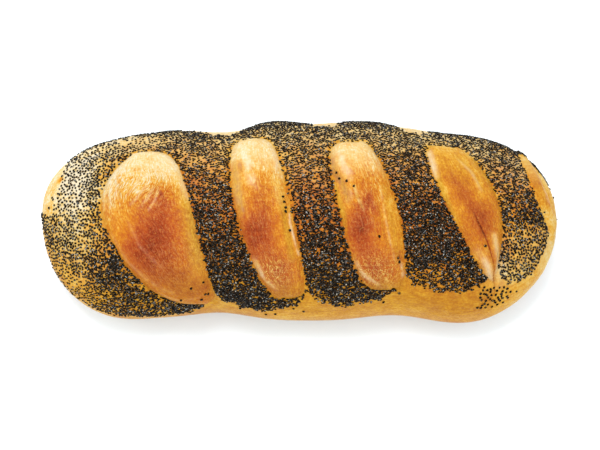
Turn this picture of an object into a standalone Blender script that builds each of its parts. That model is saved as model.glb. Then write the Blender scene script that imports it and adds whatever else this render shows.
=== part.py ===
"""Poppy seed loaf: one solid, long and rounded, lying on its flat base.

X runs along the loaf, -Y is the front, +Z is up, the base is on z = 0 and the
origin is under the middle of the loaf.  Every point of the crust is named by
its place x along the loaf and its angle theta round the section: 0 degrees on
the crown, +90 on the widest line of the front, -90 on that of the back.
"""
import math

import bmesh
import bpy
import numpy as np

for old in list(bpy.data.objects):
    bpy.data.objects.remove(old, do_unlink=True)

# ---------------------------------------------------------------- sizes (m)
LENGTH = 0.265              # tip to tip
HALF = LENGTH / 2
WIDE_LINE = 0.0260          # height of the widest line over the base
WIDE_LINE_DROP = 0.0020     # how much lower that line is at the tips
CROWN_RISE = 0.0420         # crown over the widest line
KEEL = 0.0285               # depth of the lower round before the base cuts it
HALF_BACK = 0.0482          # widest line of the back, from the crown line
HALF_FRONT = 0.0482         # the same to the front
UPPER_POWER = 2.15          # fullness of the section over the widest line
LOWER_POWER = 3.4           # fullness of the section under it
Y_SHIFT = -0.0025           # puts the origin under the middle of the outline

# how late each side starts to round off towards the (left, right) tip
END_CROWN = (2.77, 2.59)
END_KEEL = (6.2, 5.7)
END_BACK = (3.9, 6.2)
END_FRONT = (8.6, 4.05)

# crown line seen from above: y = sum of c * (x / HALF) ** k
BEND = (0.0, -0.0019, 0.0051, -0.0011)

# swellings and waists of the outline: (x, share of the half width, spread)
BACK_ROLLS = ((-0.0401, -0.022, 0.0085),
              (-0.0125, 0.095, 0.0108),
              (0.0290, 0.131, 0.0215))
FRONT_ROLLS = ((-0.0966, 0.084, 0.0172),
               (-0.0398, -0.068, 0.0133),
               (0.0511, -0.095, 0.0172),
               (0.0999, 0.163, 0.0299))

# ---------------------------------------------------------------- the cuts
# Each cut runs from the back to the front across the crown and has opened.
# theta: where it starts and ends; x: where on the loaf; bow: how far its
# middle line bends; left / right: how far that lip opens, and how pointed the
# lip is at its start and at its end (small is blunt); rise: how far the crumb
# swells up in the opening; dip: share of the full depth at its lips.
CUTS = (
    dict(theta=(-40.5, 86.2), x=(-0.0847, -0.0455), bow=-0.0102,
         left=(0.0233, 0.85, 0.585), right=(0.0265, 0.27, 0.61), rise=0.0032, dip=1.0),
    dict(theta=(-49.2, 72.0), x=(-0.0269, -0.0089), bow=-0.0048,
         left=(0.0089, 0.18, 0.32), right=(0.0196, 0.26, 0.24), rise=0.0026, dip=1.0),
    dict(theta=(-46.0, 66.7), x=(0.0302, 0.0457), bow=0.0022,
         left=(0.0208, 0.20, 0.26), right=(0.0091, 0.37, 0.24), rise=0.0026, dip=1.0),
    dict(theta=(-51.1, 62.3), x=(0.0791, 0.0965), bow=0.0009,
         left=(0.0182, 0.17, 0.66), right=(0.0124, 0.60, 0.86), rise=0.0024, dip=1.0),
    dict(theta=(-84.0, 60.0), x=(0.1120, 0.1285), bow=0.0055,
         left=(0.0047, 0.40, 0.75), right=(0.0046, 0.45, 0.70), rise=0.0016, dip=0.45),
)
LIP_DIP = 0.0013            # how far the crust sinks at a lip
LIP_REACH = 0.0055          # how far from the lip that starts
GROOVE = 0.0011             # furrow just inside a lip
GROOVE_WIDTH = 0.0021
VALLEY = 0.0012             # dip that runs on from each end of a cut
VALLEY_WIDTH = 0.0065
VALLEY_LENGTH = 34.0        # degrees

# ---------------------------------------------------------------- the mesh
STATIONS = 86               # rings along the loaf, closer at the tips
TOP_ANGLE = math.radians(100.0)
TOP_STEPS = 22              # steps on each side from the crown to TOP_ANGLE
EDGE_STEPS = 3              # and on to the edge of the base
BASE_STEPS = 3              # across half of the base
LIP_SAMPLES = 72


def end_round(x, power):
    """1 in the middle of the loaf, 0 at both tips, round at the tips."""
    u = x / HALF
    p = np.where(u < 0, power[0], power[1])
    return np.sqrt(np.clip(1.0 - np.abs(u) ** p, 0.0, None))


def rolls(x, table):
    total = 1.0
    for at, share, spread in table:
        total = total + share * np.exp(-0.5 * ((x - at) / spread) ** 2)
    return total


def section_sizes(x):
    """Middle, half widths, rise, keel and widest height of the section at x."""
    u = x / HALF
    mid = Y_SHIFT + sum(c * u ** k for k, c in enumerate(BEND))
    back = HALF_BACK * end_round(x, END_BACK) * rolls(x, BACK_ROLLS)
    front = HALF_FRONT * end_round(x, END_FRONT) * rolls(x, FRONT_ROLLS)
    rise = CROWN_RISE * end_round(x, END_CROWN)
    keel = KEEL * end_round(x, END_KEEL)
    wide = WIDE_LINE - WIDE_LINE_DROP * u ** 2
    return mid, back, front, rise, keel, wide


def body_point(x, theta):
    """The uncut loaf at (x, theta)."""
    mid, back, front, rise, keel, wide = section_sizes(x)
    s, c = np.sin(theta), np.cos(theta)
    half = np.maximum(np.where(s > 0, front, back), 1e-7)
    tall = np.maximum(np.where(c >= 0, rise, keel), 1e-7)
    power = np.where(c >= 0, UPPER_POWER, LOWER_POWER)
    r = (np.abs(s / half) ** power + np.abs(c / tall) ** power) ** (-1.0 / power)
    return np.stack([x + 0.0 * r, mid - r * s, np.maximum(wide + r * c, 0.0)], -1)


def body_normal(x, theta):
    """Unit normal of the uncut loaf, pointing out."""
    step = 1e-4
    lo, hi = np.clip(x - step, -HALF, HALF), np.clip(x + step, -HALF, HALF)
    along = body_point(hi, theta) - body_point(lo, theta)
    round_ = body_point(x, theta + 1e-3) - body_point(x, theta - 1e-3)
    n = np.cross(round_, along)
    return n / np.maximum(np.linalg.norm(n, axis=-1, keepdims=True), 1e-12)


def lip_offset(t, size):
    """Opening of one lip at t, from 0 at the start of the cut to 1 at its end."""
    width, a, b = size
    top = a / (a + b)
    return width * t ** a * (1 - t) ** b / (top ** a * (1 - top) ** b)


def cut_line(cut, t):
    """x and theta of the middle line and of both lips."""
    theta = np.radians(cut["theta"][0] + (cut["theta"][1] - cut["theta"][0]) * t)
    axis = cut["x"][0] + (cut["x"][1] - cut["x"][0]) * t
    inner = np.clip(t, 0.0, 1.0)
    axis = axis + cut["bow"] * 4 * inner * (1 - inner)
    return (theta, axis, axis - lip_offset(inner, cut["left"]),
            axis + lip_offset(inner, cut["right"]))


def nearest(points, line):
    """Distance from each point to a polyline, and how far along it, 0 to 1."""
    best = np.full(len(points), 1e9)
    along = np.zeros(len(points))
    for i, (a, b) in enumerate(zip(line[:-1], line[1:])):
        way = b - a
        size = max(float(way @ way), 1e-14)
        s = np.clip((points - a) @ way / size, 0.0, 1.0)
        d = ((points - a - s[:, None] * way) ** 2).sum(1)
        hit = d < best
        best[hit] = d[hit]
        along[hit] = (i + s[hit]) / (len(line) - 1)
    return np.sqrt(best), along


def relief(x, theta, points):
    """How far the crust stands off the uncut loaf, along its normal."""
    t = 0.5 - 0.5 * np.cos(np.pi * np.linspace(0.0, 1.0, LIP_SAMPLES))
    lips = np.full(len(x), 1e9)
    rise = np.zeros(len(x))
    furrows = np.zeros(len(x))
    sunk = np.zeros(len(x))
    for cut in CUTS:
        # place of each point in the cut: tau along it, across from lip to lip
        tau = ((theta - math.radians(cut["theta"][0]))
               / math.radians(cut["theta"][1] - cut["theta"][0]))
        _, _, left, right = cut_line(cut, np.clip(tau, 0.0, 1.0))
        across = np.clip((x - left) / np.maximum(right - left, 1e-6), 0.0, 1.0)
        inside = (tau > 0) & (tau < 1) & (x > left) & (x < right)
        dome = (np.clip(1 - np.abs(2 * across - 1) ** 2.4, 0, 1) ** 0.75
                * np.clip(1 - np.abs(2 * np.clip(tau, 0, 1) - 1) ** 5, 0, 1) ** 0.6)
        # distance to the lips, and how far along each lip that is
        far = np.full(len(x), 1e9)
        deep = np.zeros(len(x))
        for side in (0, 1):
            angle, _, lip_l, lip_r = cut_line(cut, t)
            d, along = nearest(points, body_point((lip_l, lip_r)[side], angle))
            # furrows are deepest at the back of the left lip and the front of
            # the right one
            way = along if side else 1.0 - along
            near = d < far
            far = np.where(near, d, far)
            deep = np.where(near, 0.25 + 1.0 * way ** 1.5, deep)
        signed = np.where(inside, far, -far)
        furrows = furrows + GROOVE * cut["dip"] * deep * np.exp(
            -((signed - 0.4 * GROOVE_WIDTH) / GROOVE_WIDTH) ** 2)
        sink = -LIP_DIP * cut["dip"] * np.exp(-far / LIP_REACH)
        rise = np.where(inside, cut["rise"] * dome + sink, rise)
        sunk = np.minimum(sunk, np.where(inside, 0.0, sink))
        lips = np.where(inside, 0.0, np.minimum(lips, far))
    outside = lips > 0.0
    rise = np.where(outside, sunk, rise) - furrows
    # valleys between the rolls, beyond both ends of the cuts
    for cut in CUTS[:4]:
        span = cut["theta"][1] - cut["theta"][0]
        for start, way in ((0.0, -1.0), (1.0, 1.0)):
            run = np.linspace(0.0, VALLEY_LENGTH / span, 24)
            angle, axis, _, _ = cut_line(cut, start + way * run)
            far, along = nearest(points, body_point(axis, angle))
            fade = 1.0 - along
            ease = np.clip(lips / 0.006, 0.0, 1.0)
            rise = rise - (VALLEY * fade * fade * (3 - 2 * fade) * ease
                           * np.exp(-(far / VALLEY_WIDTH) ** 2))
    return rise


def crust_point(x, theta):
    """The finished crust at (x, theta): the uncut loaf and its relief."""
    base = body_point(x, theta)
    normal = body_normal(x, theta)
    lift = relief(x, theta, base)
    # the relief dies out under the widest line and right at the tips
    low = np.clip((math.radians(118.0) - np.abs(theta)) / math.radians(28.0), 0, 1)
    tip = np.clip((HALF - np.abs(x)) / 0.0003, 0, 1)
    out = base + normal * (lift * low * low * (3 - 2 * low) * tip)[:, None]
    out[:, 2] = np.maximum(out[:, 2], 0.0)
    return out


def base_angle(x, side):
    """Angle at which the lower round meets the base, 180 degrees past its end."""
    _, back, front, _, keel, wide = section_sizes(x)
    half = front if side > 0 else back
    if keel <= wide:
        return math.pi, 0.0
    reach = half * (1.0 - (wide / keel) ** LOWER_POWER) ** (1.0 / LOWER_POWER)
    return math.pi - math.atan2(reach, wide), reach


def ring(x):
    """Angles and, on the flat base, exact points of one ring of the mesh."""
    mid = float(section_sizes(x)[0])
    angles, flats = [], []
    for side in (1, -1):
        edge, reach = base_angle(x, side)
        row = [TOP_ANGLE * i / TOP_STEPS for i in range(TOP_STEPS + 1)]
        row += [TOP_ANGLE + (edge - TOP_ANGLE) * i / EDGE_STEPS
                for i in range(1, EDGE_STEPS + 1)]
        if edge >= math.pi:                    # no base here: keep the steps apart
            row = row[:TOP_STEPS + 1]
            steps = EDGE_STEPS + BASE_STEPS
            row += [TOP_ANGLE + (math.pi - TOP_ANGLE) * i / steps
                    for i in range(1, steps)]
            flat = []
        else:
            flat = [(x, mid - side * reach * (1 - i / BASE_STEPS), 0.0)
                    for i in range(1, BASE_STEPS)]
        angles.append(row)
        flats.append(flat)
    return angles, flats


def build_loaf():
    bm = bmesh.new()
    count = 2 * (TOP_STEPS + EDGE_STEPS + BASE_STEPS)
    plan, xs, thetas = [], [], []
    for i in range(1, STATIONS):
        g = 2.0 * i / STATIONS - 1.0
        x = HALF * g * (1.25 - 0.25 * g ** 4)
        (front, back), (flat_front, flat_back) = ring(x)
        theta = front + [-a for a in back[1:]]
        plan.append((x, len(front), len(theta), flat_front, flat_back))
        xs += [x] * len(theta)
        thetas += theta
    points = crust_point(np.array(xs), np.array(thetas))
    rings, start = [], 0
    for x, n, total, flat_front, flat_back in plan:
        own = [tuple(p) for p in points[start:start + total]]
        start += total
        if flat_front:
            under = (x, float(section_sizes(x)[0]), 0.0)
        else:
            under = tuple(body_point(np.array([x]), np.array([math.pi]))[0])
        row = own[:n] + flat_front + [under] + flat_back[::-1] + own[n:][::-1]
        assert len(row) == count
        rings.append([bm.verts.new(p) for p in row])
    for a, b in zip(rings[:-1], rings[1:]):
        for j in range(count):
            k = (j + 1) % count
            bm.faces.new((a[j], b[j], b[k], a[k]))
    for edge, x, flip in ((rings[0], -HALF, False), (rings[-1], HALF, True)):
        tip = bm.verts.new(tuple(body_point(np.array([x]), np.array([0.0]))[0]))
        for j in range(count):
            k = (j + 1) % count
            bm.faces.new((edge[j], tip, edge[k]) if flip
                         else (edge[j], edge[k], tip))
    bmesh.ops.recalc_face_normals(bm, faces=bm.faces)
    mesh = bpy.data.meshes.new("loaf")
    bm.to_mesh(mesh)
    bm.free()
    mesh.shade_smooth()
    return mesh


crust = bpy.data.materials.new("crust")
crust.use_nodes = True
look = crust.node_tree.nodes["Principled BSDF"]
look.inputs["Base Color"].default_value = (0.62, 0.30, 0.08, 1.0)
look.inputs["Roughness"].default_value = 0.38
look.inputs["Metallic"].default_value = 0.0

loaf = bpy.data.objects.new("loaf", build_loaf())
loaf.data.materials.append(crust)
bpy.context.scene.collection.objects.link(loaf)
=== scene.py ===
"""Looks of the poppy seed loaf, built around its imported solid.

The crust is modelled again as a fine mesh on the same named sizes as the solid,
with the folds, streaks, creases and pits of the opened cuts.  The poppy seeds
are real small meshes scattered over it, one piece for each kind of seed.
Every place on the crust is named by x along the loaf and by theta, the angle
round the section: 0 degrees on the crown, +90 on the widest line of the front.
"""
import math

import bpy
import numpy as np
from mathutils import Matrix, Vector


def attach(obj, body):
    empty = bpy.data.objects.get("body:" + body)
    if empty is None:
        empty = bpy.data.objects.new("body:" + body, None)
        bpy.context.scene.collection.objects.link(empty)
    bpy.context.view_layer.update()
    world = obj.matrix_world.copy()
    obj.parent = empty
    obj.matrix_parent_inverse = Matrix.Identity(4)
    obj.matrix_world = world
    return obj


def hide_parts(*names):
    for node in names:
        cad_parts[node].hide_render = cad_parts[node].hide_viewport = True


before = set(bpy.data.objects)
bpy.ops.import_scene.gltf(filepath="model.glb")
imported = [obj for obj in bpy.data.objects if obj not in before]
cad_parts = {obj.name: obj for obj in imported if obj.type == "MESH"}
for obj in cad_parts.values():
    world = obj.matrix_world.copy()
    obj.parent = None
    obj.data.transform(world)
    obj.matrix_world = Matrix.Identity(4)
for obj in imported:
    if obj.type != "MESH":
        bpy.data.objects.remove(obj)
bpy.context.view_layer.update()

# ------------------------------------------------- sizes of the loaf (m)
LENGTH = 0.265
HALF = LENGTH / 2
WIDE_LINE = 0.0260
WIDE_LINE_DROP = 0.0020
CROWN_RISE = 0.0420
KEEL = 0.0285
HALF_BACK = 0.0482
HALF_FRONT = 0.0482
UPPER_POWER = 2.15
LOWER_POWER = 3.4
Y_SHIFT = -0.0025
END_CROWN = (2.77, 2.59)
END_KEEL = (6.2, 5.7)
END_BACK = (3.9, 6.2)
END_FRONT = (8.6, 4.05)
BEND = (0.0, -0.0019, 0.0051, -0.0011)
BACK_ROLLS = ((-0.0401, -0.022, 0.0085),
              (-0.0125, 0.095, 0.0108),
              (0.0290, 0.131, 0.0215))
FRONT_ROLLS = ((-0.0966, 0.084, 0.0172),
               (-0.0398, -0.068, 0.0133),
               (0.0511, -0.095, 0.0172),
               (0.0999, 0.163, 0.0299))
CUTS = (
    dict(theta=(-40.5, 86.2), x=(-0.0847, -0.0455), bow=-0.0102,
         left=(0.0233, 0.85, 0.585), right=(0.0265, 0.27, 0.61), rise=0.0032, dip=1.0),
    dict(theta=(-49.2, 72.0), x=(-0.0269, -0.0089), bow=-0.0048,
         left=(0.0089, 0.18, 0.32), right=(0.0196, 0.26, 0.24), rise=0.0026, dip=1.0),
    dict(theta=(-46.0, 66.7), x=(0.0302, 0.0457), bow=0.0022,
         left=(0.0208, 0.20, 0.26), right=(0.0091, 0.37, 0.24), rise=0.0026, dip=1.0),
    dict(theta=(-51.1, 62.3), x=(0.0791, 0.0965), bow=0.0009,
         left=(0.0182, 0.17, 0.66), right=(0.0124, 0.60, 0.86), rise=0.0024, dip=1.0),
    dict(theta=(-84.0, 60.0), x=(0.1120, 0.1285), bow=0.0055,
         left=(0.0047, 0.40, 0.75), right=(0.0046, 0.45, 0.70), rise=0.0016, dip=0.45),
)
LIP_DIP = 0.0013
LIP_REACH = 0.0055
GROOVE = 0.0011
GROOVE_WIDTH = 0.0021
VALLEY = 0.0012
VALLEY_WIDTH = 0.0065
VALLEY_LENGTH = 34.0
LIP_SAMPLES = 72

STATIONS = 488
MM = 0.001
rng = np.random.default_rng(11)


# ------------------------------------------------- form of the uncut loaf
def end_round(x, power):
    u = x / HALF
    p = np.where(u < 0, power[0], power[1])
    return np.sqrt(np.clip(1.0 - np.abs(u) ** p, 0.0, None))


def rolls(x, table):
    total = 1.0
    for at, share, spread in table:
        total = total + share * np.exp(-0.5 * ((x - at) / spread) ** 2)
    return total


def section_sizes(x):
    u = x / HALF
    mid = Y_SHIFT + sum(c * u ** k for k, c in enumerate(BEND))
    back = HALF_BACK * end_round(x, END_BACK) * rolls(x, BACK_ROLLS)
    front = HALF_FRONT * end_round(x, END_FRONT) * rolls(x, FRONT_ROLLS)
    rise = CROWN_RISE * end_round(x, END_CROWN)
    keel = KEEL * end_round(x, END_KEEL)
    wide = WIDE_LINE - WIDE_LINE_DROP * u ** 2
    return mid, back, front, rise, keel, wide


def body_point(x, theta):
    mid, back, front, rise, keel, wide = section_sizes(x)
    s, c = np.sin(theta), np.cos(theta)
    half = np.maximum(np.where(s > 0, front, back), 1e-7)
    tall = np.maximum(np.where(c >= 0, rise, keel), 1e-7)
    power = np.where(c >= 0, UPPER_POWER, LOWER_POWER)
    r = (np.abs(s / half) ** power + np.abs(c / tall) ** power) ** (-1.0 / power)
    return np.stack([x + 0.0 * r, mid - r * s, np.maximum(wide + r * c, 0.0)], -1)


def body_normal(x, theta):
    step = 1e-4
    lo, hi = np.clip(x - step, -HALF, HALF), np.clip(x + step, -HALF, HALF)
    along = body_point(hi, theta) - body_point(lo, theta)
    round_ = body_point(x, theta + 1e-3) - body_point(x, theta - 1e-3)
    n = np.cross(round_, along)
    return n / np.maximum(np.linalg.norm(n, axis=-1, keepdims=True), 1e-12)


def lip_offset(t, size):
    width, a, b = size
    top = a / (a + b)
    return width * t ** a * (1 - t) ** b / (top ** a * (1 - top) ** b)


def cut_line(cut, t):
    theta = np.radians(cut["theta"][0] + (cut["theta"][1] - cut["theta"][0]) * t)
    axis = cut["x"][0] + (cut["x"][1] - cut["x"][0]) * t
    inner = np.clip(t, 0.0, 1.0)
    axis = axis + cut["bow"] * 4 * inner * (1 - inner)
    return (theta, axis, axis - lip_offset(inner, cut["left"]),
            axis + lip_offset(inner, cut["right"]))


def nearest(points, line):
    """Distance from each point to a polyline, and how far along it, 0 to 1."""
    best = np.full(len(points), 1e9)
    along = np.zeros(len(points))
    for i, (a, b) in enumerate(zip(line[:-1], line[1:])):
        way = b - a
        size = max(float(way @ way), 1e-14)
        s = np.clip((points - a) @ way / size, 0.0, 1.0)
        d = ((points - a - s[:, None] * way) ** 2).sum(1)
        hit = d < best
        best[hit] = d[hit]
        along[hit] = (i + s[hit]) / (len(line) - 1)
    return np.sqrt(best), along


# ------------------------------------------------- noise made in numbers
def hash01(ix, iy, iz, seed):
    h = (ix.astype(np.uint64) * np.uint64(0x9E3779B1)
         ^ iy.astype(np.uint64) * np.uint64(0x85EBCA77)
         ^ iz.astype(np.uint64) * np.uint64(0xC2B2AE3D)
         ^ np.uint64(seed * 0x27D4EB2F + 0x165667B1))
    h = (h ^ (h >> np.uint64(15))) * np.uint64(0x2C1B3C6D) & np.uint64(0xFFFFFFFF)
    h = (h ^ (h >> np.uint64(12))) * np.uint64(0x297A2D39) & np.uint64(0xFFFFFFFF)
    h = h ^ (h >> np.uint64(15))
    return (h & np.uint64(0xFFFFFF)).astype(float) / 0xFFFFFF


def noise(p, size, seed=1):
    """Smooth noise of about -1 to 1 with lumps of the given size (m)."""
    size = np.broadcast_to(np.asarray(size, float), (3,))
    q = p / size + 1000.5
    i = np.floor(q).astype(np.int64)
    f = q - i
    f = f * f * f * (f * (f * 6 - 15) + 10)
    total = np.zeros(len(p))
    for dx in (0, 1):
        wx = f[:, 0] if dx else 1 - f[:, 0]
        for dy in (0, 1):
            wy = f[:, 1] if dy else 1 - f[:, 1]
            for dz in (0, 1):
                wz = f[:, 2] if dz else 1 - f[:, 2]
                total += wx * wy * wz * hash01(i[:, 0] + dx, i[:, 1] + dy,
                                               i[:, 2] + dz, seed)
    return total * 2 - 1


def fractal(p, size, octaves=3, seed=1):
    total, gain, norm = 0.0, 1.0, 0.0
    for k in range(octaves):
        total = total + gain * noise(p, np.asarray(size) / 2.03 ** k, seed + 17 * k)
        norm += gain
        gain *= 0.55
    return total / norm


def step(lo, hi, v):
    t = np.clip((v - lo) / (hi - lo), 0.0, 1.0)
    return t * t * (3 - 2 * t)


def spot(x, deg, at, size, turn=0.0):
    """A soft round spot on the crust: at and size are (mm along, degrees round)."""
    dx, dt = x / MM - at[0], (deg - at[1]) * 0.87
    c, s = math.cos(math.radians(turn)), math.sin(math.radians(turn))
    a, b = c * dx + s * dt, -s * dx + c * dt
    return np.exp(-0.5 * ((a / size[0]) ** 2 + (b / (size[1] * 0.87)) ** 2))


# ------------------------------------------------- the cuts at each point
def study(x, theta, points):
    """Where each point lies in or beside the cuts."""
    n = len(x)
    t = 0.5 - 0.5 * np.cos(np.pi * np.linspace(0.0, 1.0, LIP_SAMPLES))
    info = dict(index=np.full(n, -1), tau=np.zeros(n), across=np.zeros(n),
                inside=np.zeros(n, bool), signed=np.full(n, -1.0),
                side=np.zeros(n), lips=np.full(n, 1e9), ridge=np.zeros(n))
    rise = np.zeros(n)
    furrows = np.zeros(n)
    sunk = np.zeros(n)
    for number, cut in enumerate(CUTS):
        tau = ((theta - math.radians(cut["theta"][0]))
               / math.radians(cut["theta"][1] - cut["theta"][0]))
        _, _, left, right = cut_line(cut, np.clip(tau, 0.0, 1.0))
        across = np.clip((x - left) / np.maximum(right - left, 1e-6), 0.0, 1.0)
        inside = (tau > 0) & (tau < 1) & (x > left) & (x < right)
        dome = (np.clip(1 - np.abs(2 * across - 1) ** 2.4, 0, 1) ** 0.75
                * np.clip(1 - np.abs(2 * np.clip(tau, 0, 1) - 1) ** 5, 0, 1) ** 0.6)
        far = np.full(n, 1e9)
        deep = np.zeros(n)
        side_of = np.zeros(n)
        for side in (0, 1):
            angle, _, lip_l, lip_r = cut_line(cut, t)
            d, along = nearest(points, body_point((lip_l, lip_r)[side], angle))
            way = along if side else 1.0 - along
            near = d < far
            far = np.where(near, d, far)
            deep = np.where(near, 0.25 + 1.0 * way ** 1.5, deep)
            side_of = np.where(near, side, side_of)
        signed = np.where(inside, far, -far)
        furrows = furrows + GROOVE * cut["dip"] * deep * np.exp(
            -((signed - 0.4 * GROOVE_WIDTH) / GROOVE_WIDTH) ** 2)
        sink = -LIP_DIP * cut["dip"] * np.exp(-far / LIP_REACH)
        rise = np.where(inside, cut["rise"] * dome + sink, rise)
        sunk = np.minimum(sunk, np.where(inside, 0.0, sink))
        closer = far < info["lips"]
        take = inside | (closer & ~info["inside"])
        info["lips"] = np.where(take, far, info["lips"])
        info["index"] = np.where(take, number, info["index"])
        info["tau"] = np.where(take, tau, info["tau"])
        info["across"] = np.where(take, across, info["across"])
        info["signed"] = np.where(take, signed, info["signed"])
        info["side"] = np.where(take, side_of, info["side"])
        info["inside"] |= inside
    outside = ~info["inside"]
    rise = np.where(outside, sunk, rise) - furrows
    for cut in CUTS[:4]:
        span = cut["theta"][1] - cut["theta"][0]
        for start, way in ((0.0, -1.0), (1.0, 1.0)):
            run = np.linspace(0.0, VALLEY_LENGTH / span, 24)
            angle, axis, _, _ = cut_line(cut, start + way * run)
            far, along = nearest(points, body_point(axis, angle))
            fade = 1.0 - along
            ease = np.clip(np.where(outside, info["lips"], 0.0) / 0.006, 0.0, 1.0)
            rise = rise - (VALLEY * fade * fade * (3 - 2 * fade) * ease
                           * np.exp(-(far / VALLEY_WIDTH) ** 2))
    info["rise"] = rise
    return info


# the thin crease down the fourth cut, from its middle to below its tip
CREASE = ((81.2, -5.0), (85.0, 9.6), (87.6, 18.7), (89.6, 26.0), (91.8, 33.0),
          (93.3, 39.1), (94.7, 45.5), (95.9, 51.1), (96.8, 57.2), (97.5, 64.5), (98.0, 75.0))

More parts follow.
